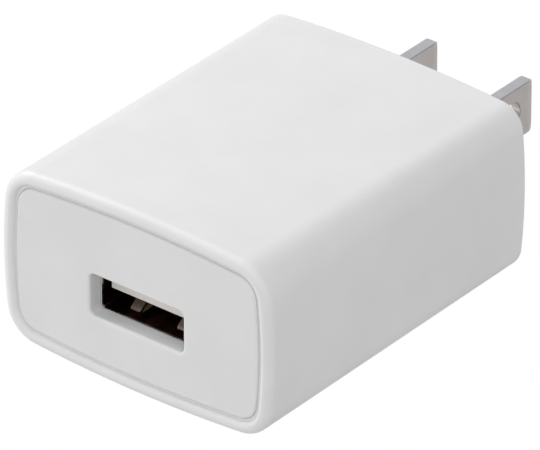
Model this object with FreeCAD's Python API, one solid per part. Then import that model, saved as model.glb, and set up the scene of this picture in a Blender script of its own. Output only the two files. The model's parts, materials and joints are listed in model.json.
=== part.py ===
"""USB wall charger: a drafted plastic cup closed by an inset front cover, with two fixed flat blades.

Frame: the origin is the centre of the face that meets the wall, +Y points into the wall,
-Y out of the USB port, +X to the right seen from the port side, and +Z up. Lengths are in millimetres.
"""

import FreeCAD, Part
import math
import os
from FreeCAD import Vector

# Body: a cup whose outline shrinks from the port end to the wall end, with slightly bowed sides
DEPTH = 43.2
FRONT_WIDTH, FRONT_HEIGHT = 35.85, 21.8
REAR_WIDTH, REAR_HEIGHT = 35.0, 20.9
FRONT_CORNER, REAR_CORNER = 4.25, 3.0
SIDE_BOW, TOP_BOW = 0.325, 0.55
FRONT_EDGE, REAR_EDGE = 0.9, 0.4
WALL = 1.9
REAR_WALL = 2.2

# Rim at the port end: insets of the crest, of the foot of its slope and of the ledge's edge, the depth of the
# narrow floor between them, and the play between fitted pieces
CREST, SLOPE, FLOOR = 1.22, 1.5, 1.8
FLOOR_DEPTH = 0.46
CREST_EDGE = 0.4
SEAM = 0.05

# How far a cutter or a root reaches past the face it meets
OVERSHOOT = 0.5

# Front cover: a round-edged panel that lies a little behind the crest and rests on a ledge of the cup
PANEL_DEPTH = 0.25
PANEL_EDGE = 0.3
PANEL_GAP = 0.03
COVER = 2.05

# USB-A port: the standard receptacle opening and tongue
WELL_X, WELL_Z = 0.0, -1.17
WELL_WIDTH, WELL_HEIGHT, WELL_CORNER, WELL_EDGE = 12.5, 5.02, 0.7, 0.3
PORT_X, PORT_Z = 0.2, -1.0
PORT_WIDTH, PORT_HEIGHT = 12.5, 5.12
SHELL_WALL, SHELL_LENGTH, SHELL_CORNER = 0.3, 14.0, 0.5
TONGUE_WIDTH, TONGUE_HEIGHT, TONGUE_DEPTH = 11.3, 1.84, 2.9
TONGUE_GAP, TONGUE_EDGE, TONGUE_ROOT = 1.12, 0.15, 3.0
CONTACT_PITCHES = (-3.5, -1.0, 1.0, 3.5)
CONTACT_METAL, CONTACT_WIDTH, CONTACT_DROP, CONTACT_BOW = 0.25, 0.9, 0.35, 0.4
CONTACT_CLEARANCE, CONTACT_TUCK = 0.02, 0.3
CONTACT_START, CONTACT_KNEE, CONTACT_PEAK, CONTACT_END = 1.0, 2.0, 3.8, 6.0

# Blades: standard two-pole, non-polarised
BLADE_SPACING, BLADE_LENGTH, BLADE_HEIGHT, BLADE_THICKNESS = 12.7, 15.0, 6.3, 1.5
BLADE_HOLE_DIAMETER, BLADE_HOLE_POSITION, BLADE_HOLE_EDGE = 3.2, 11.1, 0.25
BLADE_CORNER, BLADE_TIP_BOW, BLADE_EDGE = 0.5, 0.3, 0.1
NOSE_LENGTH, NOSE_WIDTH, NOSE_EDGE = 1.1, 0.8, 0.3
SHOULDER_HEIGHT, SHOULDER_DEPTH = 8.0, 1.0
TAIL_HEIGHT, TAIL_LENGTH = 4.4, 6.0
HOLDER, HOLDER_HEIGHT = 1.6, 11.6
HOLDER_MARGIN, HOLDER_CORNER = 3.5, 1.0

# Circuit board, under the receptacle
BOARD = 1.6
BOARD_WIDTH, BOARD_FRONT, BOARD_REAR = 30.0, -40.8, -5.0
RAIL, RAIL_INNER = 1.0, 14.7
BOARD_CORNER, DRILL_SPARE = 0.8, 0.1
CONTACT_SLOT, SHELL_LEG_SLOT = (1.2, 0.6), (0.6, 1.5)
LEAD_RADIUS, LEAD_TAIL, STANDOFF = 0.3, 0.9, 0.3
SOLDER_TIP, SOLDER_BASE, SOLDER_HEIGHT = 0.4, 0.85, 0.6

FRONT = -DEPTH
REAR_INNER = -REAR_WALL
SHELL_FRONT = FRONT + COVER + SEAM
SHELL_REAR = SHELL_FRONT + SHELL_LENGTH
PORT_FLOOR = PORT_Z - PORT_HEIGHT / 2
PORT_ROOF = PORT_Z + PORT_HEIGHT / 2
TONGUE_TOP = PORT_ROOF - TONGUE_GAP
TONGUE_BOTTOM = TONGUE_TOP - TONGUE_HEIGHT
TONGUE_FRONT = FRONT + TONGUE_DEPTH
BOARD_TOP = PORT_FLOOR - SHELL_WALL
BOARD_BOTTOM = BOARD_TOP - BOARD
FAR = 60.0

AXIS = {"X": Vector(1, 0, 0), "Y": Vector(0, 1, 0), "Z": Vector(0, 0, 1)}


# ---------- small shape helpers ----------

def block(x0, x1, y0, y1, z0, z1):
    """Box from its low corner to its high corner."""
    return Part.makeBox(x1 - x0, y1 - y0, z1 - z0, Vector(x0, y0, z0))


def centred_block(centre, size):
    """Box of a size about its centre."""
    low = [c - s / 2 for c, s in zip(centre, size)]
    return Part.makeBox(*size, Vector(*low))


def rod(radius, start, length, axis="Z"):
    """Round bar from a start point along an axis."""
    return Part.makeCylinder(radius, length, Vector(*start), AXIS[axis])


def tube(outer, inner, start, length, axis="Z"):
    """Round tube from a start point along an axis."""
    return rod(outer, start, length, axis).cut(rod(inner, start, length, axis))


def edges_along(shape, axis):
    """Straight edges that run along an axis."""
    lines = [edge for edge in shape.Edges if isinstance(edge.Curve, Part.Line)]
    return [edge for edge in lines if abs(edge.tangentAt(edge.FirstParameter).dot(AXIS[axis])) > 0.999]


def edges_at(shape, y):
    """Edges that lie in the plane at depth y."""
    return [edge for edge in shape.Edges if max(abs(v.Point.y - y) for v in edge.Vertexes) < 1e-4
            and abs(edge.CenterOfMass.y - y) < 1e-4]


def soft_block(centre, size, radius, axis):
    """Box with its edges along one axis rounded."""
    solid = centred_block(centre, size)
    return solid.makeFillet(radius, edges_along(solid, axis))


def joined(shapes):
    """One solid from shapes that touch or overlap."""
    return shapes[0].multiFuse(shapes[1:]).removeSplitter()


def without(shape, cutters):
    """A shape with all the cutters taken out."""
    return shape.cut(Part.makeCompound(cutters))


def ribbon(points, thickness, width, plane):
    """Bent strip of sheet metal: a polyline in the YZ or XZ plane, thickened to its left and extruded along
    the third axis, centred on it."""
    path = [Vector(u, v, 0) for u, v in points]
    turned = [(b - a).normalize() for a, b in zip(path, path[1:])]
    normals = [Vector(-d.y, d.x, 0) for d in turned]
    offset = [path[0] + normals[0] * thickness]
    for corner, before, after in zip(path[1:], normals, normals[1:]):
        mitre = (before + after).normalize()
        offset.append(corner + mitre * (thickness / mitre.dot(before)))
    offset.append(path[-1] + normals[-1] * thickness)
    outline = path + offset[::-1]
    half = width / 2
    if plane == "YZ":
        placed = [Vector(-half, p.x, p.y) for p in outline]
        extrusion = Vector(width, 0, 0)
    else:
        placed = [Vector(p.x, -half, p.y) for p in outline]
        extrusion = Vector(0, width, 0)
    return Part.Face(Part.makePolygon(placed + placed[:1])).extrude(extrusion)


def moved(shape, x=0.0, y=0.0, z=0.0):
    """Copy of a shape, moved."""
    copy = shape.copy()
    copy.translate(Vector(x, y, z))
    return copy


def arc(centre_x, centre_z, radius, start, end, y):
    """Circular edge in the plane at depth y, between two angles from +X towards +Z."""
    angles = (start, (start + end) / 2, end)
    points = [Vector(centre_x + radius * math.cos(a), y, centre_z + radius * math.sin(a)) for a in angles]
    return Part.Arc(*points).toShape()


# ---------- body outline ----------

def section(y, inset):
    """Outline of the body at depth y, moved inwards: four bowed sides joined by tangent corner arcs."""
    share = (y - FRONT) / DEPTH
    corner = FRONT_CORNER + share * (REAR_CORNER - FRONT_CORNER)
    side = (FRONT_WIDTH + share * (REAR_WIDTH - FRONT_WIDTH)) / 2 - corner
    top = (FRONT_HEIGHT + share * (REAR_HEIGHT - FRONT_HEIGHT)) / 2 - corner
    corner_x, corner_z = side - SIDE_BOW, top - TOP_BOW
    side_radius = (corner_z ** 2 + SIDE_BOW ** 2) / (2 * SIDE_BOW)
    top_radius = (corner_x ** 2 + TOP_BOW ** 2) / (2 * TOP_BOW)
    side_angle = math.asin(corner_z / side_radius)
    top_angle = math.asin(corner_x / top_radius)
    corner -= inset
    edges = []
    for turn, right in ((0.0, 1), (math.pi, -1)):
        quarter, next_side = turn + math.pi / 2, turn + math.pi - side_angle
        centre_x = right * (side - side_radius)
        centre_z = right * (top - top_radius)
        edges += [
            arc(centre_x, 0, side_radius + corner, turn - side_angle, turn + side_angle, y),
            arc(right * corner_x, right * corner_z, corner, turn + side_angle, quarter - top_angle, y),
            arc(0, centre_z, top_radius + corner, quarter - top_angle, quarter + top_angle, y),
            arc(-right * corner_x, right * corner_z, corner, quarter + top_angle, next_side, y),
        ]
    return Part.Wire(edges)


def funnel(start, start_inset, end, end_inset):
    """Solid between two outlines, each at its depth and moved inwards by its inset."""
    return Part.makeLoft([section(start, start_inset), section(end, end_inset)], True, True)


def drafted(start, end, inset):
    """Solid that follows the body's outline from one depth to another."""
    return funnel(start, inset, end, inset)


def port_block(width, height, corner, start, end, x=PORT_X, z=PORT_Z):
    """Rounded block along the port."""
    return soft_block((x, (start + end) / 2, z), (width, end - start, height), corner, "Y")


# ---------- casing ----------

SNAP_X, SNAP_WIDTH, SNAP_LENGTH, SNAP_THICK = 9.5, 5.0, 4.2, 1.0
SNAP_FACE, NUB_HEIGHT, NUB_LENGTH = 8.35, 0.5, 1.2
POCKET_SPARE = 0.4
STAKE_Z, STAKE_RADIUS, STAKE_HEAD = 3.4, 1.0, 1.7
STAKE_HEAD_HEIGHT, STAKE_HEAD_EDGE = 0.9, 0.5
RAIL_START = 1.5


def snap_places():
    """The two snap arms along the top and the two along the bottom, as x and up or down."""
    return [(x, up) for x in (-SNAP_X, SNAP_X) for up in (1, -1)]


def snap_box(x, up, start, end, inner, outer, width):
    """Box at a snap arm, between two distances from the mid-plane."""
    low, high = sorted((up * inner, up * outer))
    return block(x - width / 2, x + width / 2, start, end, low, high)


def snap_pocket(x, up):
    """Recess in the casing wall that a snap arm's nub drops into."""
    end = FRONT + COVER + SNAP_LENGTH + POCKET_SPARE / 2
    start = end - NUB_LENGTH - POCKET_SPARE
    outer = SNAP_FACE + NUB_HEIGHT + POCKET_SPARE
    return snap_box(x, up, start, end, SNAP_FACE - SNAP_THICK, outer, SNAP_WIDTH + POCKET_SPARE)


def stake():
    """Post with a melted head that holds the blade holder against the rear wall."""
    neck = REAR_INNER - HOLDER
    top = neck - STAKE_HEAD_HEIGHT
    post = rod(STAKE_RADIUS, (0, neck - OVERSHOOT, 0), HOLDER + 2 * OVERSHOOT, "Y")
    head = rod(STAKE_HEAD, (0, top, 0), STAKE_HEAD_HEIGHT, "Y")
    head = head.makeFillet(STAKE_HEAD_EDGE, edges_at(head, top))
    return post.fuse(head)


def housing():
    """Deep cup with the rear wall, the board rails, the snap pockets and the blade slots."""
    outer = drafted(FRONT, 0, 0)
    outer = outer.makeFillet(FRONT_EDGE, edges_at(outer, FRONT))
    outer = outer.makeFillet(REAR_EDGE, edges_at(outer, 0))
    grade = (SLOPE - CREST) / FLOOR_DEPTH
    dish = funnel(FRONT - OVERSHOOT, CREST - grade * OVERSHOOT, FRONT + FLOOR_DEPTH, SLOPE)
    cup = outer.cut(dish)
    cup = cup.cut(drafted(FRONT + FLOOR_DEPTH / 2, FRONT + COVER, FLOOR))
    cup = cup.cut(drafted(FRONT + COVER - OVERSHOOT, REAR_INNER, WALL))
    crest = [face for face in cup.Faces if abs(face.CenterOfMass.y - FRONT) < 1e-4][0]
    inner_loop = min(crest.Wires, key=lambda wire: wire.Length)
    cup = cup.makeFillet(CREST_EDGE, inner_loop.Edges)
    cup = without(cup, [snap_pocket(x, up) for x, up in snap_places()])
    rails = []
    for side in (1, -1):
        for low in (BOARD_TOP + SEAM, BOARD_BOTTOM - SEAM - RAIL):
            reach = sorted((side * RAIL_INNER, side * (REAR_WIDTH / 2 - WALL / 2)))
            rails.append(block(*reach, FRONT + COVER + RAIL_START, REAR_INNER + SEAM, low, low + RAIL))
    stakes = [moved(stake(), z=z) for z in (STAKE_Z, -STAKE_Z)]
    return without(joined([cup] + rails + stakes), blade_slots())


def blade_slots():
    """Slots through the rear wall, with a pocket inside for each blade's shoulder."""
    slots = []
    for x in (-BLADE_SPACING / 2, BLADE_SPACING / 2):
        width = BLADE_THICKNESS + 2 * SEAM
        slots.append(centred_block((x, 0, 0), (width, 3 * REAR_WALL, BLADE_HEIGHT + 2 * SEAM)))
        depth = SHOULDER_DEPTH + SEAM
        pocket = (x, REAR_INNER + depth / 2 - OVERSHOOT, 0)
        slots.append(centred_block(pocket, (width, depth + 2 * OVERSHOOT, SHOULDER_HEIGHT + 2 * SEAM)))
    return slots


def front_cover():
    """Round-edged panel with the USB well and four snap arms."""
    front = FRONT + PANEL_DEPTH
    plate = drafted(front, FRONT + COVER, FLOOR + PANEL_GAP)
    plate = plate.makeFillet(PANEL_EDGE, edges_at(plate, front))
    well_ends = FRONT - OVERSHOOT, FRONT + COVER + OVERSHOOT
    plate = plate.cut(port_block(WELL_WIDTH, WELL_HEIGHT, WELL_CORNER, *well_ends, WELL_X, WELL_Z))
    face = [f for f in plate.Faces if abs(f.CenterOfMass.y - front) < 1e-4][0]
    mouth = min(face.Wires, key=lambda wire: wire.Length)
    plate = plate.makeFillet(WELL_EDGE, mouth.Edges)
    return joined([plate] + [snap_arm(x, up) for x, up in snap_places()])


def snap_arm(x, up):
    """Springy arm behind the cover, with a ramped nub at its end."""
    start, end = FRONT + COVER - OVERSHOOT, FRONT + COVER + SNAP_LENGTH
    arm = snap_box(x, up, start, end, SNAP_FACE - SNAP_THICK, SNAP_FACE, SNAP_WIDTH)
    ramp = [(end, SNAP_FACE - SEAM), (end - NUB_LENGTH, SNAP_FACE - SEAM),
            (end - NUB_LENGTH, SNAP_FACE + NUB_HEIGHT), (end - NUB_LENGTH / 2, SNAP_FACE + NUB_HEIGHT)]
    corners = [Vector(x - SNAP_WIDTH / 2, y, up * z) for y, z in ramp]
    nub = Part.Face(Part.makePolygon(corners + corners[:1])).extrude(Vector(SNAP_WIDTH, 0, 0))
    return arm.fuse(nub)


# ---------- blades and their contacts ----------

def blade(x):
    """Flat blade with a round hole, a bowed and rounded tip, and a shoulder and tail inside the casing."""
    half = BLADE_HEIGHT / 2
    shank_start, shank_end = REAR_INNER + SHOULDER_DEPTH, BLADE_LENGTH - BLADE_TIP_BOW
    left = x - BLADE_THICKNESS / 2
    lower, upper = Vector(left, shank_end, -half), Vector(left, shank_end, half)
    tip = Part.Arc(lower, Vector(left, BLADE_LENGTH, 0), upper).toShape()
    inner_low, inner_high = Vector(left, shank_start, -half), Vector(left, shank_start, half)
    sides = [Part.makeLine(inner_low, lower), tip, Part.makeLine(upper, inner_high),
             Part.makeLine(inner_high, inner_low)]
    shank = Part.Face(Part.Wire(sides)).extrude(Vector(BLADE_THICKNESS, 0, 0))
    tip_corners = [e for e in edges_along(shank, "X") if e.CenterOfMass.y > 0]
    shank = shank.makeFillet(BLADE_CORNER, tip_corners)
    outline = [e for e in shank.Edges if abs(e.CenterOfMass.x - x) > BLADE_THICKNESS / 2 - 0.01
               and e.CenterOfMass.y > 0]
    shank = shank.makeChamfer(BLADE_EDGE, outline)
    shank = shank.common(nose(x))
    shoulder_y = REAR_INNER + SHOULDER_DEPTH / 2
    shoulder = centred_block((x, shoulder_y, 0), (BLADE_THICKNESS, SHOULDER_DEPTH, SHOULDER_HEIGHT))
    tail = centred_block((x, REAR_INNER - TAIL_LENGTH / 2, 0), (BLADE_THICKNESS, TAIL_LENGTH, TAIL_HEIGHT))
    drill = (x - BLADE_THICKNESS, BLADE_HOLE_POSITION, 0)
    hole = rod(BLADE_HOLE_DIAMETER / 2, drill, 2 * BLADE_THICKNESS, "X")
    stamped = joined([shank, shoulder, tail]).cut(hole)
    return stamped.makeFillet(BLADE_HOLE_EDGE, [e for e in stamped.Edges if is_hole_edge(e)])


def nose(x):
    """Block that narrows a blade softly towards its tip, seen from above."""
    wide, narrow = BLADE_THICKNESS / 2, NOSE_WIDTH / 2
    right = [(wide, -BLADE_LENGTH), (wide, BLADE_LENGTH - NOSE_LENGTH), (narrow, BLADE_LENGTH)]
    outline = right + [(-across, along) for across, along in right[::-1]]
    corners = [Vector(x + across, along, -BLADE_HEIGHT) for across, along in outline]
    solid = Part.Face(Part.makePolygon(corners + corners[:1])).extrude(Vector(0, 0, 2 * BLADE_HEIGHT))
    return solid.makeFillet(NOSE_EDGE, [e for e in edges_along(solid, "Z") if e.CenterOfMass.y > 0])


def is_hole_edge(edge):
    """True for the two circles where a blade's hole meets its faces."""
    return isinstance(edge.Curve, Part.Circle) and abs(edge.Curve.Radius - BLADE_HOLE_DIAMETER / 2) < 1e-6


def blade_holder():
    """Insulating plate behind the rear wall that traps the blade shoulders."""
    size = (BLADE_SPACING + 2 * HOLDER_MARGIN, HOLDER, HOLDER_HEIGHT)
    plate = soft_block((0, REAR_INNER - HOLDER / 2, 0), size, HOLDER_CORNER, "Y")
    holes = []
    for x in (-BLADE_SPACING / 2, BLADE_SPACING / 2):
        tail = (BLADE_THICKNESS + 2 * SEAM, 3 * HOLDER, TAIL_HEIGHT + 2 * SEAM)
        holes.append(centred_block((x, REAR_INNER, 0), tail))
    for z in (STAKE_Z, -STAKE_Z):
        holes.append(rod(STAKE_RADIUS + SEAM, (0, REAR_INNER - 2 * HOLDER, z), 4 * HOLDER, "Y"))
    return without(plate, holes)


CLIP_METAL, CLIP_LENGTH, CLIP_Y = 0.35, 3.2, -6.3
CLIP_LEGS = (-1.3, 1.3)
CLIP_CLEARANCE, CLIP_SPREAD, CLIP_MOUTH = 0.02, 0.9, 0.6
CLIP_BEND, CLIP_GRIP, CLIP_TOP = -1.6, (0.2, 1.4), 2.4


def contact_clip(x):
    """Tuning-fork spring on the board that grips a blade's tail from both sides."""
    grip = BLADE_THICKNESS / 2 + CLIP_CLEARANCE
    foot = BOARD_TOP + SEAM
    leaf = [(0, foot), (grip + CLIP_SPREAD, foot), (grip + CLIP_SPREAD, CLIP_BEND),
            (grip, CLIP_GRIP[0]), (grip, CLIP_GRIP[1]), (grip + CLIP_MOUTH, CLIP_TOP)]
    right = ribbon(leaf, CLIP_METAL, CLIP_LENGTH, "XZ")
    left = right.mirror(Vector(0, 0, 0), AXIS["X"])
    centre = Vector(x, CLIP_Y, 0)
    fork = joined([right, left])
    fork.translate(centre)
    legs = [lead(x, CLIP_Y + y, foot + CLIP_METAL / 2) for y in CLIP_LEGS]
    tail = centred_block((x, REAR_INNER - TAIL_LENGTH / 2, 0), (BLADE_THICKNESS, TAIL_LENGTH, TAIL_HEIGHT))
    return joined([fork] + legs).cut(tail)


# ---------- USB receptacle ----------

FINGER_X, FINGER_WIDTH = 3.1, 1.35
FINGER_LIFT, FINGER_RISE = 0.1, 0.8
FINGER_TIP, FINGER_CREST, FINGER_ROOT = 3.75, 4.7, 9.6
FINGER_TOP, FINGER_CORNER = 0.8, 0.45
SHELL_SLOT = 0.15
SHELL_LEG_Y, SHELL_LEG = (-31.0, -37.0), 1.2


def spring_finger(x):
    """Retention spring of the shell: a rounded tip near the mouth, a crest, and a root in the floor."""
    tip, crest, root = FRONT + FINGER_TIP, FRONT + FINGER_CREST, FRONT + FINGER_ROOT
    low = PORT_FLOOR - SHELL_WALL
    high = low + FINGER_RISE
    path = [(tip, low + FINGER_LIFT), (crest, high), (crest + FINGER_TOP, high), (root, low)]
    finger = ribbon(path, SHELL_WALL, FINGER_WIDTH, "YZ")
    finger.translate(Vector(x, 0, 0))
    mask = centred_block((x, (tip + root) / 2, low), (FINGER_WIDTH, root - tip + 2 * SHELL_WALL, PORT_HEIGHT))
    rounded = [e for e in edges_along(mask, "Z") if e.CenterOfMass.y < tip]
    return finger.common(mask.makeFillet(FINGER_CORNER, rounded))


def usb_shell():
    """Folded steel shell with two retention springs in its floor and four solder legs."""
    outer = port_block(PORT_WIDTH + 2 * SHELL_WALL, PORT_HEIGHT + 2 * SHELL_WALL, SHELL_CORNER + SHELL_WALL,
                       SHELL_FRONT, SHELL_REAR)
    inner = port_block(PORT_WIDTH, PORT_HEIGHT, SHELL_CORNER, SHELL_FRONT - OVERSHOOT, SHELL_REAR + OVERSHOOT)
    sleeve = outer.cut(inner)
    slots, fingers, legs = [], [], []
    start, root = FRONT + FINGER_TIP - SHELL_SLOT, FRONT + FINGER_ROOT - 2 * SEAM
    for x in (PORT_X - FINGER_X, PORT_X + FINGER_X):
        centre = (x, (start + root) / 2, PORT_FLOOR)
        slots.append(centred_block(centre, (FINGER_WIDTH + 2 * SHELL_SLOT, root - start, 4 * SHELL_WALL)))
        fingers.append(spring_finger(x))
    for side in (-1, 1):
        x = PORT_X + side * (PORT_WIDTH + SHELL_WALL) / 2
        for y in SHELL_LEG_Y:
            size = (SHELL_WALL, SHELL_LEG, PORT_Z - BOARD_BOTTOM + LEAD_TAIL)
            legs.append(centred_block((x, y, PORT_Z - size[2] / 2), size))
    return joined([without(sleeve, slots)] + fingers + legs)


def usb_insulator():
    """Moulded block at the back of the shell with the tongue that carries the contacts."""
    root = SHELL_REAR - TONGUE_ROOT
    tongue = block(PORT_X - TONGUE_WIDTH / 2, PORT_X + TONGUE_WIDTH / 2, TONGUE_FRONT, root,
                   TONGUE_BOTTOM, TONGUE_TOP)
    tongue = tongue.makeFillet(TONGUE_EDGE, edges_at(tongue, TONGUE_FRONT))
    size = (PORT_WIDTH - 2 * SEAM, PORT_HEIGHT - 2 * SEAM)
    rear = port_block(*size, SHELL_CORNER, root - SHELL_WALL, SHELL_REAR - SHELL_WALL)
    return without(joined([tongue, rear]), contact_solids(CONTACT_CLEARANCE))


def contact_solids(grow):
    """The four contacts, each bowed below the tongue and bent down through the board, thickened by grow."""
    solids = []
    front, rear, face = TONGUE_FRONT, SHELL_REAR + CONTACT_DROP, TONGUE_BOTTOM - grow
    path = [(front + CONTACT_START - grow, face + CONTACT_TUCK), (front + CONTACT_KNEE, face - SEAM),
            (front + CONTACT_PEAK, face - CONTACT_BOW), (front + CONTACT_END, face - SEAM),
            (SHELL_REAR - TONGUE_ROOT, face), (rear, face), (rear, BOARD_BOTTOM - LEAD_TAIL - grow)]
    for x in CONTACT_PITCHES:
        strip = ribbon(path, CONTACT_METAL + 2 * grow, CONTACT_WIDTH + 2 * grow, "YZ")
        strip.translate(Vector(PORT_X + x, 0, 0))
        solids.append(strip)
    return solids


# ---------- board and what stands on it ----------

TRANSFORMER_Y, CORE_X, CORE_Y, CORE_Z = -19.0, 12.8, 12.0, 6.1
CORE_BACK, CENTRE_LEG, OUTER_LEG = 1.6, 2.8, 1.5
TRANSFORMER_Z = BOARD_TOP + 6.3
WINDING_LENGTH, WINDING_SPARE = 7.2, 0.1
PIN_X, PIN_Y, PIN_HEIGHT = (-5.0, -1.7, 1.7, 5.0), 5.4, 1.8

BULK = {"radius": 4.0, "height": 11.5, "pitch": 3.5, "places": ((10.6, -21.3), (10.6, -12.9))}
OUTPUT = {"radius": 3.15, "height": 10.7, "pitch": 2.5, "places": ((-10.6, -34.5), (11.0, -34.5))}
SLEEVE, SLEEVE_FOOT, SLEEVE_SHORT = 0.15, 0.2, 0.9
SEAL, CAN_LIP, CAN_EDGE = 1.2, 0.5, 0.6

CHOKE_X, CHOKE_Y, CHOKE_RADIUS, CHOKE_HEIGHT = -11.2, -11.6, 3.0, 8.0
CHOKE_CORE, CHOKE_FLANGE, CHOKE_DIP, CHOKE_PITCH = 1.4, 1.2, 0.25, 3.0
DISC_X, DISC_Y, DISC_RADIUS, DISC_THICK, DISC_PITCH = -11.0, -22.0, 3.7, 3.4, 5.0
DISC_LIFT, DISC_EDGE, DISC_LEAD = 0.9, 1.2, 1.4
FUSE_Y, FUSE_RADIUS, FUSE_LENGTH, FUSE_PITCH = -10.9, 1.6, 7.6, 11.0
FUSE_LIFT, FUSE_EDGE = 0.2, 0.5


def lead(x, y, top):
    """Round lead from a height down through the board."""
    bottom = BOARD_BOTTOM - LEAD_TAIL
    return rod(LEAD_RADIUS, (x, y, bottom), top - bottom)


def capacitor_leads():
    """Places of the leads of all the round capacitors."""
    return [(x, y + side * kind["pitch"] / 2) for kind in (BULK, OUTPUT) for x, y in kind["places"]
            for side in (-1, 1)]


def component_leads():
    """Tinned leads of the capacitors, the choke, the disc capacitor and the fusible resistor."""
    leads = [lead(x, y, BOARD_TOP + STANDOFF) for x, y in capacitor_leads() + choke_places()]
    leads += [lead(x, y, BOARD_TOP + DISC_LEAD) for x, y in disc_places()]
    height = BOARD_TOP + FUSE_LIFT + FUSE_RADIUS
    for side in (-1, 1):
        x = side * FUSE_PITCH / 2
        reach = FUSE_PITCH / 2 - FUSE_LENGTH / 2
        start = min(x, x - side * reach)
        arm = rod(LEAD_RADIUS, (start, FUSE_Y, height), reach, "X")
        leads.append(joined([lead(x, FUSE_Y, height), arm]))
    return leads


def choke_places():
    """Places of the choke's two leads."""
    return [(CHOKE_X + side * CHOKE_PITCH / 2, CHOKE_Y) for side in (-1, 1)]


def disc_places():
    """Places of the disc capacitor's two leads."""
    return [(DISC_X, DISC_Y + side * DISC_PITCH / 2) for side in (-1, 1)]


def pin_places():
    """Places of the transformer's pins."""
    return [(x, TRANSFORMER_Y + side * PIN_Y) for side in (-1, 1) for x in PIN_X]


def clip_leg_places():
    """Places of the contact clips' legs."""
    return [(x, CLIP_Y + y) for x in (-BLADE_SPACING / 2, BLADE_SPACING / 2) for y in CLIP_LEGS]


def lead_places():
    """Every round lead that passes through the board."""
    fuse = [(side * FUSE_PITCH / 2, FUSE_Y) for side in (-1, 1)]
    return capacitor_leads() + choke_places() + disc_places() + pin_places() + clip_leg_places() + fuse


def circuit_board():
    """Glass-fibre board with its drilled holes and the slots for the shell's legs."""
    half = BOARD_WIDTH / 2
    plate = block(-half, half, BOARD_FRONT, BOARD_REAR, BOARD_BOTTOM, BOARD_TOP)
    plate = plate.makeChamfer(BOARD_CORNER, edges_along(plate, "Z"))
    start, reach = BOARD_BOTTOM - OVERSHOOT, BOARD + 2 * OVERSHOOT
    holes = [rod(LEAD_RADIUS + DRILL_SPARE, (x, y, start), reach) for x, y in lead_places()]
    row = SHELL_REAR + CONTACT_DROP + CONTACT_METAL / 2
    for x in CONTACT_PITCHES:
        holes.append(centred_block((PORT_X + x, row, BOARD_BOTTOM), (*CONTACT_SLOT, 4 * BOARD)))
    for side in (-1, 1):
        for y in SHELL_LEG_Y:
            x = PORT_X + side * (PORT_WIDTH + SHELL_WALL) / 2
            holes.append(centred_block((x, y, BOARD_BOTTOM), (*SHELL_LEG_SLOT, 4 * BOARD)))
    return without(plate, holes)


def solder_joints():
    """Cone of solder round each round lead, under the board."""
    fillets = []
    for x, y in lead_places():
        start = Vector(x, y, BOARD_BOTTOM - SOLDER_HEIGHT)
        cone = Part.makeCone(SOLDER_TIP, SOLDER_BASE, SOLDER_HEIGHT, start)
        fillets.append(cone.cut(rod(LEAD_RADIUS, tuple(start), SOLDER_HEIGHT)))
    return fillets


def round_capacitor(kind, x, y):
    """Can, sleeve and rubber seal of an upright electrolytic capacitor."""
    radius, height = kind["radius"], kind["height"]
    base = BOARD_TOP + STANDOFF
    seal = rod(radius - CAN_LIP, (x, y, base), SEAL)
    can = rod(radius - SLEEVE, (x, y, base), height)
    rim = [e for e in can.Edges if e.CenterOfMass.z > base + height / 2 and len(e.Vertexes) == 1]
    can = can.makeFillet(CAN_EDGE, rim).cut(seal)
    sleeve = tube(radius, radius - SLEEVE, (x, y, base + SLEEVE_FOOT), height - SLEEVE_SHORT)
    return can, sleeve, seal


def transformer_core(side):
    """Half of the ferrite core: a back with one centre leg and two outer legs."""
    y0, y1 = sorted((TRANSFORMER_Y, TRANSFORMER_Y + side * CORE_Y / 2))
    z0, z1 = TRANSFORMER_Z - CORE_Z / 2, TRANSFORMER_Z + CORE_Z / 2
    solid = block(-CORE_X / 2, CORE_X / 2, y0, y1, z0, z1)
    depth = CORE_Y / 2 - CORE_BACK
    w0, w1 = sorted((TRANSFORMER_Y, TRANSFORMER_Y + side * depth))
    inner, outer = CENTRE_LEG / 2, CORE_X / 2 - OUTER_LEG
    windows = [block(inner, outer, w0, w1, z0, z1), block(-outer, -inner, w0, w1, z0, z1)]
    return without(solid, windows)


def ring_block(outer_x, outer_z, wall, length):
    """Rectangular sleeve with rounded corners round the transformer's centre leg."""
    centre = (0, TRANSFORMER_Y, TRANSFORMER_Z)
    outer = soft_block(centre, (2 * outer_x, length, 2 * outer_z), wall + RING_CORNER, "Y")
    inner_size = (2 * (outer_x - wall), length + 2 * OVERSHOOT, 2 * (outer_z - wall))
    return outer.cut(soft_block(centre, inner_size, RING_CORNER, "Y"))


TUBE_X, TUBE_Z, TUBE_WALL = 2.1, 3.75, 0.6
FLANGE_X, FLANGE_Y, FLANGE_Z = 9.6, 0.7, 11.8
PIN_RAIL_X, PIN_RAIL_Y = 6.2, 6.2
PRIMARY, SECONDARY, WRAP = 1.15, 0.85, 0.15
RING_CORNER = 0.3
TAPE, TAPE_WIDTH = 0.1, 4.0


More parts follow.
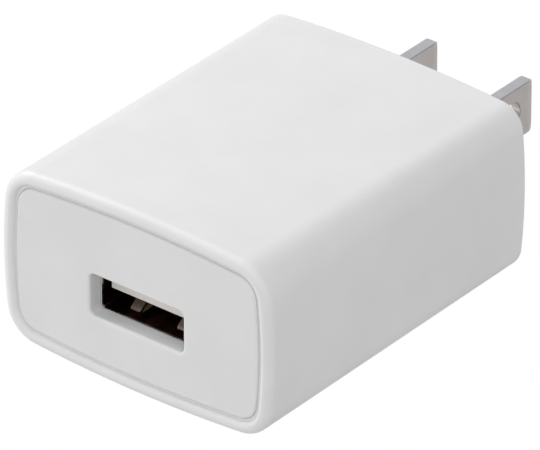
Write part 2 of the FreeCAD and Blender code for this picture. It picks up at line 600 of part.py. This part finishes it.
def transformer_bobbin():
    """Former on the centre leg with two flanges and two pin rails under the core."""
    parts = [ring_block(TUBE_X, TUBE_Z, TUBE_WALL, WINDING_LENGTH + 2 * FLANGE_Y)]
    hole = centred_block((0, TRANSFORMER_Y, TRANSFORMER_Z),
                         (2 * (TUBE_X - TUBE_WALL), FAR, 2 * (TUBE_Z - TUBE_WALL)))
    for side in (-1, 1):
        y = TRANSFORMER_Y + side * (WINDING_LENGTH + FLANGE_Y) / 2
        flange = centred_block((0, y, TRANSFORMER_Z), (FLANGE_X, FLANGE_Y, FLANGE_Z))
        parts.append(flange.cut(hole))
        top = TRANSFORMER_Z - CORE_Z / 2 - TAPE
        y0, y1 = sorted((TRANSFORMER_Y + side * WINDING_LENGTH / 2, TRANSFORMER_Y + side * PIN_RAIL_Y))
        parts.append(block(-PIN_RAIL_X, PIN_RAIL_X, y0, y1, BOARD_TOP + 2 * SEAM, top))
    pins = [lead(x, y, BOARD_TOP + PIN_HEIGHT) for x, y in pin_places()]
    return without(joined(parts), pins)


def choke():
    """Ferrite drum and its coil."""
    base = BOARD_TOP + STANDOFF
    drum = rod(CHOKE_RADIUS, (CHOKE_X, CHOKE_Y, base), CHOKE_HEIGHT)
    start, length = (CHOKE_X, CHOKE_Y, base + CHOKE_FLANGE), CHOKE_HEIGHT - 2 * CHOKE_FLANGE
    groove = tube(CHOKE_RADIUS + OVERSHOOT, CHOKE_CORE, start, length)
    coil = tube(CHOKE_RADIUS - CHOKE_DIP, CHOKE_CORE, start, length)
    return drum.cut(groove), coil


def disc_capacitor():
    """Ceramic disc that bridges the two sides of the supply, standing on edge."""
    centre_z = BOARD_TOP + DISC_LIFT + DISC_RADIUS
    disc = rod(DISC_RADIUS, (DISC_X - DISC_THICK / 2, DISC_Y, centre_z), DISC_THICK, "X")
    disc = disc.makeFillet(DISC_EDGE, [e for e in disc.Edges if len(e.Vertexes) == 1])
    return without(disc, [lead(x, y, BOARD_TOP + DISC_LEAD) for x, y in disc_places()])


def fusible_resistor():
    """Round resistor body that lies between the contact clips."""
    height = BOARD_TOP + FUSE_LIFT + FUSE_RADIUS
    body = rod(FUSE_RADIUS, (-FUSE_LENGTH / 2, FUSE_Y, height), FUSE_LENGTH, "X")
    return body.makeFillet(FUSE_EDGE, [e for e in body.Edges if len(e.Vertexes) == 1])


LEG_METAL, LEG_WIDTH, LEG_KNEE, LEG_TOE = 0.2, 0.45, 0.4, 1.0


def chip(x, y, size):
    """Flat component under the board."""
    return centred_block((x, y, BOARD_BOTTOM - SEAM - size[2] / 2), size)


def gull_wings(x, y, size, pitch, count):
    """Bent legs along both long sides of a chip package."""
    legs = []
    middle = BOARD_BOTTOM - SEAM - size[2] / 2
    foot = BOARD_BOTTOM - LEG_METAL - SEAM
    for side in (-1, 1):
        edge = size[0] / 2
        knee, toe = side * (edge + LEG_KNEE), side * (edge + LEG_TOE)
        path = [(side * edge, middle), (knee, middle), (knee, foot), (toe, foot)]
        for row in range(count):
            leg = ribbon(path, side * LEG_METAL, LEG_WIDTH, "XZ")
            leg.translate(Vector(x, y + (row - (count - 1) / 2) * pitch, 0))
            legs.append(leg)
    return legs


CONTROLLER = {"place": (-3.2, -18.5), "size": (3.9, 4.9, 1.5), "pitch": 1.27, "legs": 4}
BRIDGE = {"place": (0.0, -8.0), "size": (3.9, 4.7, 2.2), "pitch": 2.5, "legs": 2}
DIODE = {"place": (3.0, -31.0), "size": (4.3, 3.6, 2.2)}
RESISTOR_SIZE, CAPACITOR_SIZE = (1.6, 3.2, 0.6), (1.25, 2.0, 0.9)
# Each row of flat components: x of the first, step, how many, and y
RESISTOR_ROWS = ((2.6, 2.4, 3, -18.5), (-8.4, 2.3, 3, -34.0))
CAPACITOR_ROWS = ((-9.6, 2.1, 2, -16.6), (-8.6, 2.1, 3, -28.5))


def chip_rows(rows, size):
    """Flat components of one size, in rows under the board."""
    return [chip(first + step * column, y, size) for first, step, count, y in rows for column in range(count)]


SHEET_LOW, SHEET, SHEET_HALF, SHEET_FOLD = -8.1, 0.2, 10.5, 1.4
SHEET_FRONT, SHEET_REAR = -31.0, -4.4


def insulating_sheet():
    """Thin film under the board, folded up along both sides."""
    inner, floor = SHEET_HALF - SHEET, SHEET_LOW + SHEET
    trough = block(-SHEET_HALF, SHEET_HALF, SHEET_FRONT, SHEET_REAR, SHEET_LOW, SHEET_LOW + SHEET_FOLD)
    return trough.cut(block(-inner, inner, -FAR, 0, floor, floor + SHEET_FOLD))


# ---------- output ----------

def save(name, shape):
    """Write one sub-part; a list of solids becomes one group."""
    if isinstance(shape, list):
        shape = Part.makeCompound(shape)
    if not shape.isValid():
        print("invalid shape:", name)
    shape.exportStep(os.path.join("parts", name + ".step"))
    print(f"{name}: {len(shape.Solids)} solid(s), {shape.Volume:.1f} mm3")


def save_capacitors():
    """Write the cans one by one, and their sleeves and seals as groups."""
    sleeves, seals = [], []
    for label, kind in (("bulk", BULK), ("output", OUTPUT)):
        for number, (x, y) in enumerate(kind["places"], 1):
            can, sleeve, seal = round_capacitor(kind, x, y)
            save(f"{label}_capacitor_{number}", can)
            sleeves.append(sleeve)
            seals.append(seal)
    save("capacitor_sleeves", sleeves)
    save("capacitor_seals", seals)


def save_transformer():
    """Write the transformer's pieces."""
    save("transformer_core_front", transformer_core(-1))
    save("transformer_core_rear", transformer_core(1))
    save("transformer_bobbin", transformer_bobbin())
    save("transformer_pins", [lead(x, y, BOARD_TOP + PIN_HEIGHT) for x, y in pin_places()])
    length = WINDING_LENGTH - 2 * WINDING_SPARE
    primary_x, primary_z = TUBE_X + PRIMARY, TUBE_Z + PRIMARY
    save("primary_winding", ring_block(primary_x, primary_z, PRIMARY - SEAM, length))
    secondary_x, secondary_z = primary_x + SECONDARY, primary_z + SECONDARY
    save("secondary_winding", ring_block(secondary_x, secondary_z, SECONDARY - SEAM, length))
    wrap_x, wrap_z = secondary_x + WRAP + SEAM, secondary_z + WRAP + SEAM
    save("winding_tape", ring_block(wrap_x, wrap_z, WRAP, length))
    centre = (0, TRANSFORMER_Y, TRANSFORMER_Z)
    band = centred_block(centre, (CORE_X + 2 * TAPE, CORE_Y + 2 * TAPE, TAPE_WIDTH))
    save("core_tape", band.cut(centred_block(centre, (CORE_X, CORE_Y, 2 * TAPE_WIDTH))))


def save_board_parts():
    """Write the board and the small parts on it."""
    save("circuit_board", circuit_board())
    save("component_leads", component_leads())
    save("solder_joints", solder_joints())
    drum, coil = choke()
    save("choke_core", drum)
    save("choke_coil", coil)
    save("disc_capacitor", disc_capacitor())
    save("fusible_resistor", fusible_resistor())
    legs = []
    for name, part in (("controller_chip", CONTROLLER), ("bridge_rectifier", BRIDGE)):
        save(name, chip(*part["place"], part["size"]))
        legs += gull_wings(*part["place"], part["size"], part["pitch"], part["legs"])
    save("chip_legs", legs)
    save("output_diode", chip(*DIODE["place"], DIODE["size"]))
    save("chip_resistors", chip_rows(RESISTOR_ROWS, RESISTOR_SIZE))
    save("chip_capacitors", chip_rows(CAPACITOR_ROWS, CAPACITOR_SIZE))
    save("insulating_sheet", insulating_sheet())


def main():
    os.makedirs("parts", exist_ok=True)
    save("housing", housing())
    save("front_cover", front_cover())
    save("blade_left", blade(-BLADE_SPACING / 2))
    save("blade_right", blade(BLADE_SPACING / 2))
    save("blade_holder", blade_holder())
    save("contact_clip_left", contact_clip(-BLADE_SPACING / 2))
    save("contact_clip_right", contact_clip(BLADE_SPACING / 2))
    save("usb_shell", usb_shell())
    save("usb_insulator", usb_insulator())
    save("usb_contacts", contact_solids(0.0))
    save_transformer()
    save_capacitors()
    save_board_parts()


main()
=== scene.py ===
"""Looks of the USB wall charger: studio, camera, and a procedural material for every CAD node."""

import json
import math

import bpy
from mathutils import Matrix, Vector


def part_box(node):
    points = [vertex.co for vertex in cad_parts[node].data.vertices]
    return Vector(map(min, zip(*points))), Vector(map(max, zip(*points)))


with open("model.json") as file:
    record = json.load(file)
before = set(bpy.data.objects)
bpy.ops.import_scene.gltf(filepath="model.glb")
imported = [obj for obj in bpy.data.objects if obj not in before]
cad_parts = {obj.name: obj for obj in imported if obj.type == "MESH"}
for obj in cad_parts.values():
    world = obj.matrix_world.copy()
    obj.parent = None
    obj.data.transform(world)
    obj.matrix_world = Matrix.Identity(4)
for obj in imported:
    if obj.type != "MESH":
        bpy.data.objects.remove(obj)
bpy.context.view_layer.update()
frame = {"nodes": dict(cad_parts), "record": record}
MM = 0.001


# ---------- camera ----------

# The photo's viewing angle, fitted to the outline of the body, the port and the blades.
AZIMUTH, ELEVATION, ROLL = math.radians(38.9), math.radians(31.07), math.radians(0.08)
DISTANCE, LENS, SENSOR = 0.958, 614.0, 36.0
# The point aimed at, beside the middle of the housing.
AIM_RIGHT, AIM_UP = 0.38 * MM, -0.507 * MM
NEAR_CLIP, FAR_CLIP = 0.05, 20.0


def direction(azimuth, elevation):
    """Unit vector away from the object; azimuth 0 is in front of the port, 90 degrees to its right."""
    flat = math.cos(elevation)
    return Vector((math.sin(azimuth) * flat, -math.cos(azimuth) * flat, math.sin(elevation)))


def view_axes():
    """Unit vectors to the camera's right, to its top and back towards it."""
    back = direction(AZIMUTH, ELEVATION)
    level = Vector((math.cos(AZIMUTH), math.sin(AZIMUTH), 0.0))
    right = Matrix.Rotation(-ROLL, 3, back) @ level
    return right, back.cross(right), back


def make_camera():
    """Telephoto camera that looks down at the port side from the right."""
    low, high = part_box("housing")
    right, up, back = view_axes()
    aim = (low + high) / 2 + right * AIM_RIGHT + up * AIM_UP
    data = bpy.data.cameras.new("camera")
    data.lens, data.sensor_width = LENS, SENSOR
    data.clip_start, data.clip_end = NEAR_CLIP, FAR_CLIP
    camera = bpy.data.objects.new("camera", data)
    turn = Matrix((right, up, back)).transposed().to_4x4()
    camera.matrix_world = Matrix.Translation(aim + back * DISTANCE) @ turn
    bpy.context.scene.collection.objects.link(camera)
    bpy.context.scene.camera = camera


# ---------- studio ----------

LIGHT_DISTANCE, LIGHT_SIZE = 0.8, 0.4
# The three powers and the strength of the world were fitted to the photo's brightness.
FRONT_POWER, LEFT_POWER, TABLE_POWER = 1.45, 3.21, 1.04
WORLD_STRENGTH = 0.611
FLOOR_HALF = 3.0


def area_light(name, azimuth, elevation, power):
    """Soft square light that faces the object; azimuth 0 is in front of the port, 90 to its right."""
    towards = direction(math.radians(azimuth), math.radians(elevation))
    data = bpy.data.lights.new(name, "AREA")
    data.shape, data.size, data.energy = "SQUARE", LIGHT_SIZE, power
    light = bpy.data.objects.new(name, data)
    light.location = towards * LIGHT_DISTANCE
    light.rotation_euler = towards.to_track_quat("Z", "Y").to_euler()
    bpy.context.scene.collection.objects.link(light)


def make_studio():
    """Even light all round, lamps in front and on the left, and one below for what a table throws back."""
    scene = bpy.context.scene
    scene.view_settings.view_transform = "Standard"
    world = bpy.data.worlds.new("studio")
    world.use_nodes = True
    background = world.node_tree.nodes["Background"].inputs
    background["Color"].default_value = (1.0, 1.0, 1.0, 1.0)
    background["Strength"].default_value = WORLD_STRENGTH
    scene.world = world
    area_light("front", 30, 38, FRONT_POWER)
    area_light("left", -90, 38, LEFT_POWER)
    area_light("table", -60, -25, TABLE_POWER)


def make_floor():
    """Plain white floor under the housing that neither lights the part nor shades it."""
    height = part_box("housing")[0].z
    mesh = bpy.data.meshes.new("floor")
    signs = ((-1, -1), (1, -1), (1, 1), (-1, 1))
    corners = [(x * FLOOR_HALF, y * FLOOR_HALF, height) for x, y in signs]
    mesh.from_pydata(corners, [], [(0, 1, 2, 3)])
    floor = bpy.data.objects.new("floor", mesh)
    bpy.context.scene.collection.objects.link(floor)
    material = bpy.data.materials.new("floor_white")
    material.use_nodes = True
    tree = material.node_tree
    tree.nodes.clear()
    emission = tree.nodes.new("ShaderNodeEmission")
    emission.inputs["Strength"].default_value = 1.0
    output = tree.nodes.new("ShaderNodeOutputMaterial")
    tree.links.new(emission.outputs["Emission"], output.inputs["Surface"])
    mesh.materials.append(material)
    floor.visible_diffuse = False
    floor.visible_glossy = False
    floor.visible_shadow = False


# ---------- shader helpers ----------

def shader_of(name, metallic=0.0, inputs=()):
    """New material, its node tree and its surface shader; values that are the same all over are set here."""
    material = bpy.data.materials.new(name)
    material.use_nodes = True
    tree = material.node_tree
    shader = tree.nodes["Principled BSDF"]
    shader.inputs["Metallic"].default_value = metallic
    for key, value in dict(inputs).items():
        shader.inputs[key].default_value = value
    return material, tree, shader


def add(tree, kind, inputs=(), **settings):
    """New node; each input is a plain value or another node's output to link."""
    node = tree.nodes.new("ShaderNode" + kind)
    for key, value in settings.items():
        setattr(node, key, value)
    for key, value in dict(inputs).items():
        if isinstance(value, bpy.types.NodeSocket):
            tree.links.new(value, node.inputs[key])
        else:
            node.inputs[key].default_value = value
    return node


def place(tree, stretch=(1, 1, 1)):
    """Position in the part's frame, in metres, with each axis scaled."""
    here = add(tree, "TexCoord").outputs["Object"]
    return add(tree, "Mapping", {"Vector": here, "Scale": stretch}).outputs["Vector"]


def noise(tree, size, detail=2.0, stretch=(1, 1, 1)):
    """Cloudy pattern from 0 to 1, with spots of about the given size in millimetres."""
    inputs = {"Vector": place(tree, stretch), "Scale": 1.0 / (size * MM), "Detail": detail}
    return add(tree, "TexNoise", inputs).outputs["Fac"]


def spread(tree, value, low, high, start=0.3, end=0.7):
    """A range of values, by default a pattern's usual one, mapped to another range."""
    inputs = {"Value": value, "From Min": start, "From Max": end, "To Min": low, "To Max": high}
    return add(tree, "MapRange", inputs).outputs["Result"]


def rise(tree, value, start=0.3, end=0.7):
    """0 up to the start, 1 from the end on."""
    return spread(tree, value, 0.0, 1.0, start, end)


def fall(tree, value, start, end):
    """1 up to the start, 0 from the end on."""
    return spread(tree, value, 1.0, 0.0, start, end)


def mixed(tree, share, first, second):
    """Colour between two, each a plain colour with its alpha or another node's output."""
    return add(tree, "Mix", {0: share, 6: first, 7: second}, data_type="RGBA").outputs[2]


def tint(tree, share, first, second):
    """Colour between two plain colours."""
    return mixed(tree, share, (*first, 1.0), (*second, 1.0))


def dimmed(tree, light, share):
    """Colour darkened by a pattern: 1 leaves it, 0 makes it black."""
    return mixed(tree, share, (0.0, 0.0, 0.0, 1.0), light)


def product(tree, first, second):
    """Two patterns multiplied."""
    return add(tree, "Math", {0: first, 1: second}, operation="MULTIPLY").outputs[0]


def absolute(tree, value):
    """A value without its sign."""
    return add(tree, "Math", {0: value}, operation="ABSOLUTE").outputs[0]


def away(tree, value, centre):
    """How far a value is from a centre, on either side."""
    return absolute(tree, add(tree, "Math", {0: value, 1: centre}, operation="SUBTRACT").outputs[0])


def axes(tree, vector):
    """The X, Y and Z of a vector."""
    return add(tree, "SeparateXYZ", {0: vector}).outputs


def wave_scale(period):
    """Scale at which a wave texture repeats every so many millimetres."""
    return math.pi / (10 * period * MM)


def emboss(tree, shader, height, depth, strength=1.0):
    """Bump of a depth in millimetres, from a pattern."""
    inputs = {"Height": height, "Distance": depth * MM, "Strength": strength}
    tree.links.new(add(tree, "Bump", inputs).outputs["Normal"], shader.inputs["Normal"])


def colour(tree, shader, output):
    """Link the base colour."""
    tree.links.new(output, shader.inputs["Base Color"])


def gloss(tree, shader, output):
    """Link the roughness."""
    tree.links.new(output, shader.inputs["Roughness"])


# ---------- material families ----------

def moulded(name, light, dark, rough=(0.42, 0.5), grain=0.11, depth=0.004, cloud=7.0, inputs=()):
    """Moulded plastic: a faint cloudiness, uneven gloss and the fine eroded texture of the mould."""
    material, tree, shader = shader_of(name, inputs=inputs)
    colour(tree, shader, tint(tree, rise(tree, noise(tree, cloud)), light, dark))
    gloss(tree, shader, spread(tree, noise(tree, 1.8, 3.0), *rough))
    emboss(tree, shader, noise(tree, grain, 3.0), depth)
    return material


def metal(name, light, dark, rough=(0.25, 0.38), grain=0.05, along=(1, 0.04, 1), depth=0.002):
    """Rolled or plated metal: fine lines along one axis and cloudy handling marks."""
    material, tree, shader = shader_of(name, metallic=1.0)
    lines = noise(tree, grain, 2.0, along)
    colour(tree, shader, tint(tree, rise(tree, noise(tree, 1.5, 4.0)), light, dark))
    gloss(tree, shader, spread(tree, lines, *rough))
    emboss(tree, shader, lines, depth)
    return material


def wound(name, light, dark, wire, axis, metallic=0.0, rough=(0.25, 0.35)):
    """Close turns of wire along an axis, each turn a rounded ridge with its own tone, painted dark in the
    grooves between turns as shade and light on the crests.
    """
    material, tree, shader = shader_of(name, metallic=metallic)
    period = {"Vector": place(tree), "Scale": wave_scale(wire), "Distortion": 0.0}
    ridges = add(tree, "TexWave", period, bands_direction=axis, wave_profile="SIN").outputs["Fac"]
    flat = [0.02, 0.02, 0.02]
    flat["XYZ".index(axis)] = 1.0
    # Painted shade and light: the colour follows each ridge, dark in the grooves and light on the crests,
    # times a random tone for each turn.
    turn_tone_and_painted_shade = product(tree, spread(tree, noise(tree, wire, 0.0, flat), 0.4, 1.0), ridges)
    colour(tree, shader, tint(tree, turn_tone_and_painted_shade, dark, light))
    gloss(tree, shader, spread(tree, noise(tree, 0.8), *rough))
    emboss(tree, shader, ridges, wire / 2, 0.8)
    return material


# ---------- materials: one for each slot of the record, and one for the choke's wire ----------

# Each spring's distance from the middle of the port, its half width, and how deep in from the mouth the
# springs are painted lighter, as if lit.
SPRING_X, SPRING_HALF, LIT_SPRING_DEPTH = 3.1 * MM, 0.7 * MM, 3.0 * MM
# Half of a blade's height, and the width of the band at its upper and lower edge where painted light and a
# painted dark line are put.
BLADE_HALF, PAINTED_EDGE_BAND = 3.15 * MM, 0.3 * MM
# The white plastic lets a little light in, which softens the edges of the rim.
WHITE_BODY = {"Subsurface Weight": 0.6, "Subsurface Radius": (1.0, 1.0, 1.0), "Subsurface Scale": 0.6 * MM}


def casing_plastic():
    return moulded("casing_plastic", (0.79, 0.79, 0.79), (0.765, 0.765, 0.765), inputs=WHITE_BODY)


def cover_plastic():
    light, dark = (0.785, 0.785, 0.79), (0.76, 0.76, 0.765)
    return moulded("cover_plastic", light, dark, cloud=5.0, inputs=WHITE_BODY)


def inner_plastic():
    return moulded("inner_plastic", (0.64, 0.64, 0.6), (0.6, 0.6, 0.57), (0.45, 0.55))


def port_plastic():
    return moulded("port_plastic", (0.88, 0.84, 0.8), (0.81, 0.77, 0.73), (0.35, 0.45), depth=0.006)


def bobbin_plastic():
    return moulded("bobbin_plastic", (0.03, 0.028, 0.027), (0.018, 0.017, 0.017), (0.3, 0.5), depth=0.01)


def seal_rubber():
    return moulded("seal_rubber", (0.035, 0.034, 0.033), (0.02, 0.02, 0.02), (0.6, 0.8), depth=0.02)


def blade_plating():
    """Nickel on brass: warm brushed sides, painted light in a greyer colour on the faces that look up and
    down, and a painted dark line of shade where they meet.
    """
    material, tree, shader = shader_of("blade_plating", metallic=1.0)
    lines = noise(tree, 0.05, 2.0, (1, 0.04, 1))
    patches = rise(tree, noise(tree, 1.5, 4.0))
    faces = tint(tree, patches, (0.655, 0.61, 0.585), (0.585, 0.545, 0.52))
    edges = tint(tree, patches, (0.74, 0.74, 0.77), (0.66, 0.66, 0.69))
    height = absolute(tree, axes(tree, place(tree))["Z"])
    facing = absolute(tree, axes(tree, add(tree, "NewGeometry").outputs["Normal"])["Z"])
    at_edge = rise(tree, height, BLADE_HALF - PAINTED_EDGE_BAND, BLADE_HALF - PAINTED_EDGE_BAND / 2)
    # Painted light: near the upper and lower edge, faces that look up and down take the greyer colour
    # instead of the warm one.
    painted_facing_share = product(tree, at_edge, rise(tree, facing, 0.5, 0.8))
    # Painted shade: a dark line where the surface is about halfway between the face and the edge.
    on_line = fall(tree, away(tree, facing, 0.7), 0.1, 0.25)
    painted_line_shade = spread(tree, product(tree, at_edge, on_line), 1.0, 0.65, 0.0, 1.0)
    colour(tree, shader, dimmed(tree, mixed(tree, painted_facing_share, faces, edges), painted_line_shade))
    gloss(tree, shader, spread(tree, lines, 0.26, 0.38))
    emboss(tree, shader, lines, 0.0015)
    return material


def spring_bronze():
    return metal("spring_bronze", (0.72, 0.5, 0.3), (0.6, 0.4, 0.24), (0.25, 0.35), along=(1, 1, 0.05))


def tinned_metal():
    return metal("tinned_metal", (0.74, 0.74, 0.72), (0.6, 0.6, 0.59), (0.3, 0.45), along=(1, 1, 0.1))


def contact_gold():
    return metal("contact_gold", (0.85, 0.62, 0.27), (0.74, 0.5, 0.2), (0.18, 0.26))


def can_aluminium():
    return metal("can_aluminium", (0.82, 0.82, 0.83), (0.72, 0.72, 0.73), (0.28, 0.4), along=(1, 1, 0.05))


def solder():
    """Bright, lumpy solder with a dull skin in places."""
    material, tree, shader = shader_of("solder", metallic=1.0)
    lumps = noise(tree, 0.5, 3.0)
    colour(tree, shader, tint(tree, rise(tree, lumps), (0.62, 0.62, 0.61), (0.78, 0.78, 0.77)))
    gloss(tree, shader, spread(tree, noise(tree, 0.3), 0.15, 0.4))
    emboss(tree, shader, lumps, 0.08)
    return material


def port_steel():
    """Folded steel shell: bright at the mouth, painted shade in dark brown deeper in, and springs near the
    mouth painted lighter as if lit.
    """
    material, tree, shader = shader_of("port_steel", metallic=1.0)
    lines = noise(tree, 0.06, 2.0, (1, 0.05, 1))
    where = axes(tree, place(tree))
    low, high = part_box("usb_shell")
    mouth, port_floor = low.y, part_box("usb_insulator")[0].z
    # Painted shade: from just inside the mouth the steel turns dark brown, standing in for the shade deep in
    # the port.
    painted_shade_share = rise(tree, where["Y"], mouth + 0.05 * MM, mouth + 0.35 * MM)
    bright = tint(tree, rise(tree, lines), (0.97, 0.97, 0.98), (0.9, 0.9, 0.92))
    shade = tint(tree, rise(tree, noise(tree, 1.2, 3.0)), (0.16, 0.07, 0.035), (0.07, 0.03, 0.018))
    # Painted light: the springs near the mouth, above the port floor, get this lighter colour instead of the
    # painted shade.
    painted_lit_spring_colour = tint(tree, rise(tree, noise(tree, 0.5, 3.0)), (0.5, 0.42, 0.37), (0.38, 0.32, 0.28))
    off_spring = away(tree, away(tree, where["X"], (low.x + high.x) / 2), SPRING_X)
    on_spring = fall(tree, off_spring, SPRING_HALF - 0.02 * MM, SPRING_HALF + 0.02 * MM)
    raised = rise(tree, where["Z"], port_floor, port_floor + 0.05 * MM)
    near = fall(tree, where["Y"], mouth + LIT_SPRING_DEPTH - 0.3 * MM, mouth + LIT_SPRING_DEPTH)
    painted_lit_springs = product(tree, product(tree, on_spring, near), raised)
    colour(tree, shader, mixed(tree, painted_shade_share, bright, mixed(tree, painted_lit_springs, shade, painted_lit_spring_colour)))
    gloss(tree, shader, spread(tree, lines, 0.16, 0.3))
    emboss(tree, shader, lines, 0.002)
    return material


def ferrite():
    """Sintered ferrite: dull dark grey with pores and lighter grains."""
    material, tree, shader = shader_of("ferrite")
    cells = add(tree, "TexVoronoi", {"Vector": place(tree), "Scale": 1 / (0.25 * MM)}).outputs["Distance"]
    colour(tree, shader, tint(tree, rise(tree, cells, 0.2, 0.6), (0.035, 0.035, 0.04), (0.07, 0.07, 0.075)))
    gloss(tree, shader, spread(tree, noise(tree, 0.6), 0.4, 0.6))
    emboss(tree, shader, cells, 0.02)
    return material


def enamelled_copper():
    return wound("enamelled_copper", (0.72, 0.28, 0.1), (0.3, 0.09, 0.03), 0.22, "Y", metallic=1.0)


def choke_copper():
    return wound("choke_copper", (0.72, 0.28, 0.1), (0.3, 0.09, 0.03), 0.3, "Z", metallic=1.0)


def insulated_wire():
    return wound("insulated_wire", (0.82, 0.64, 0.1), (0.45, 0.32, 0.03), 0.6, "Y")


def yellow_tape():
    """Polyester tape: a clear glossy face over yellow glue, with faint wrinkles."""
    material, tree, shader = shader_of("yellow_tape", inputs={"Coat Weight": 0.4})
    wrinkles = noise(tree, 1.6, 3.0, (0.4, 1, 1))
    colour(tree, shader, tint(tree, rise(tree, wrinkles), (0.82, 0.6, 0.03), (0.7, 0.48, 0.02)))
    gloss(tree, shader, spread(tree, noise(tree, 0.7), 0.18, 0.3))
    emboss(tree, shader, wrinkles, 0.04)
    return material


def sleeve_film():
    """Black shrink sleeve, slightly uneven where it shrank onto the can."""
    material, tree, shader = shader_of("sleeve_film", inputs={"Coat Weight": 0.3})
    ripples = noise(tree, 1.1, 2.0, (1, 1, 0.3))
    colour(tree, shader, tint(tree, rise(tree, ripples), (0.012, 0.012, 0.016), (0.03, 0.03, 0.036)))
    gloss(tree, shader, spread(tree, noise(tree, 0.5), 0.2, 0.34))
    emboss(tree, shader, ripples, 0.03)
    return material


def board_laminate():
    """Glass-fibre board: a woven ground under a clear green-brown lacquer."""
    material, tree, shader = shader_of("board_laminate", inputs={"Coat Weight": 0.5, "Coat Roughness": 0.15})
    strand = {"Vector": place(tree), "Scale": wave_scale(0.5)}
    warp = add(tree, "TexWave", strand, bands_direction="X").outputs["Fac"]
    weft = add(tree, "TexWave", strand, bands_direction="Y").outputs["Fac"]
    weave = product(tree, warp, weft)
    ground = tint(tree, weave, (0.45, 0.36, 0.16), (0.62, 0.52, 0.28))
    stains = tint(tree, rise(tree, noise(tree, 6.0)), (0.5, 0.4, 0.18), (0.6, 0.5, 0.27))
    colour(tree, shader, mixed(tree, 0.4, ground, stains))
    gloss(tree, shader, spread(tree, noise(tree, 0.8), 0.3, 0.45))
    emboss(tree, shader, weave, 0.01)
    return material


def blue_coating():
    """Dipped epoxy: glossy, thick, a little uneven."""
    material, tree, shader = shader_of("blue_coating", inputs={"Coat Weight": 0.6})
    runs = noise(tree, 1.6, 2.0)
    colour(tree, shader, tint(tree, rise(tree, runs), (0.02, 0.13, 0.5), (0.04, 0.2, 0.62)))
    gloss(tree, shader, spread(tree, noise(tree, 0.5), 0.18, 0.3))
    emboss(tree, shader, runs, 0.08)
    return material


def resistor_coating():
    light, dark = (0.17, 0.36, 0.23), (0.12, 0.28, 0.17)
    return moulded("resistor_coating", light, dark, (0.5, 0.65), grain=0.2, depth=0.02)


def chip_epoxy():
    light, dark = (0.028, 0.028, 0.03), (0.016, 0.016, 0.018)
    return moulded("chip_epoxy", light, dark, (0.42, 0.55), grain=0.08, depth=0.01)


def chip_ceramic():
    return moulded("chip_ceramic", (0.03, 0.03, 0.032), (0.015, 0.015, 0.016), (0.2, 0.35), depth=0.005)


def chip_ceramic_tan():
    return moulded("chip_ceramic_tan", (0.5, 0.34, 0.21), (0.4, 0.27, 0.17), (0.4, 0.55), depth=0.005)


def clear_film():
    """Translucent polyester sheet with faint creases."""
    material, tree, shader = shader_of("clear_film", inputs={"Transmission Weight": 0.6, "IOR": 1.58})
    creases = noise(tree, 4.0, 3.0, (0.2, 1, 1))
    colour(tree, shader, tint(tree, rise(tree, creases), (0.86, 0.86, 0.84), (0.78, 0.78, 0.76)))
    gloss(tree, shader, spread(tree, noise(tree, 1.0), 0.15, 0.3))
    emboss(tree, shader, creases, 0.05)
    return material


LOOKS = {look.__name__: look for look in (
    casing_plastic, cover_plastic, inner_plastic, port_plastic, bobbin_plastic, seal_rubber,
    blade_plating, port_steel, spring_bronze, tinned_metal, contact_gold, can_aluminium, solder,
    ferrite, enamelled_copper, choke_copper, insulated_wire, yellow_tape, sleeve_film, clear_film,
    board_laminate, blue_coating, resistor_coating, chip_epoxy, chip_ceramic, chip_ceramic_tan)}
OWN_LOOK = {"choke_coil": "choke_copper"}


def dress_frame():
    """Give every CAD node the look of its slot in the record, or its own."""
    made = {}
    for part in frame["record"]["subparts"]:
        look = OWN_LOOK.get(part["node"], part["material_slot"])
        if look not in made:
            made[look] = LOOKS[look]()
        mesh = frame["nodes"][part["node"]].data
        mesh.materials.clear()
        mesh.materials.append(made[look])


make_camera()
make_studio()
make_floor()
dress_frame()
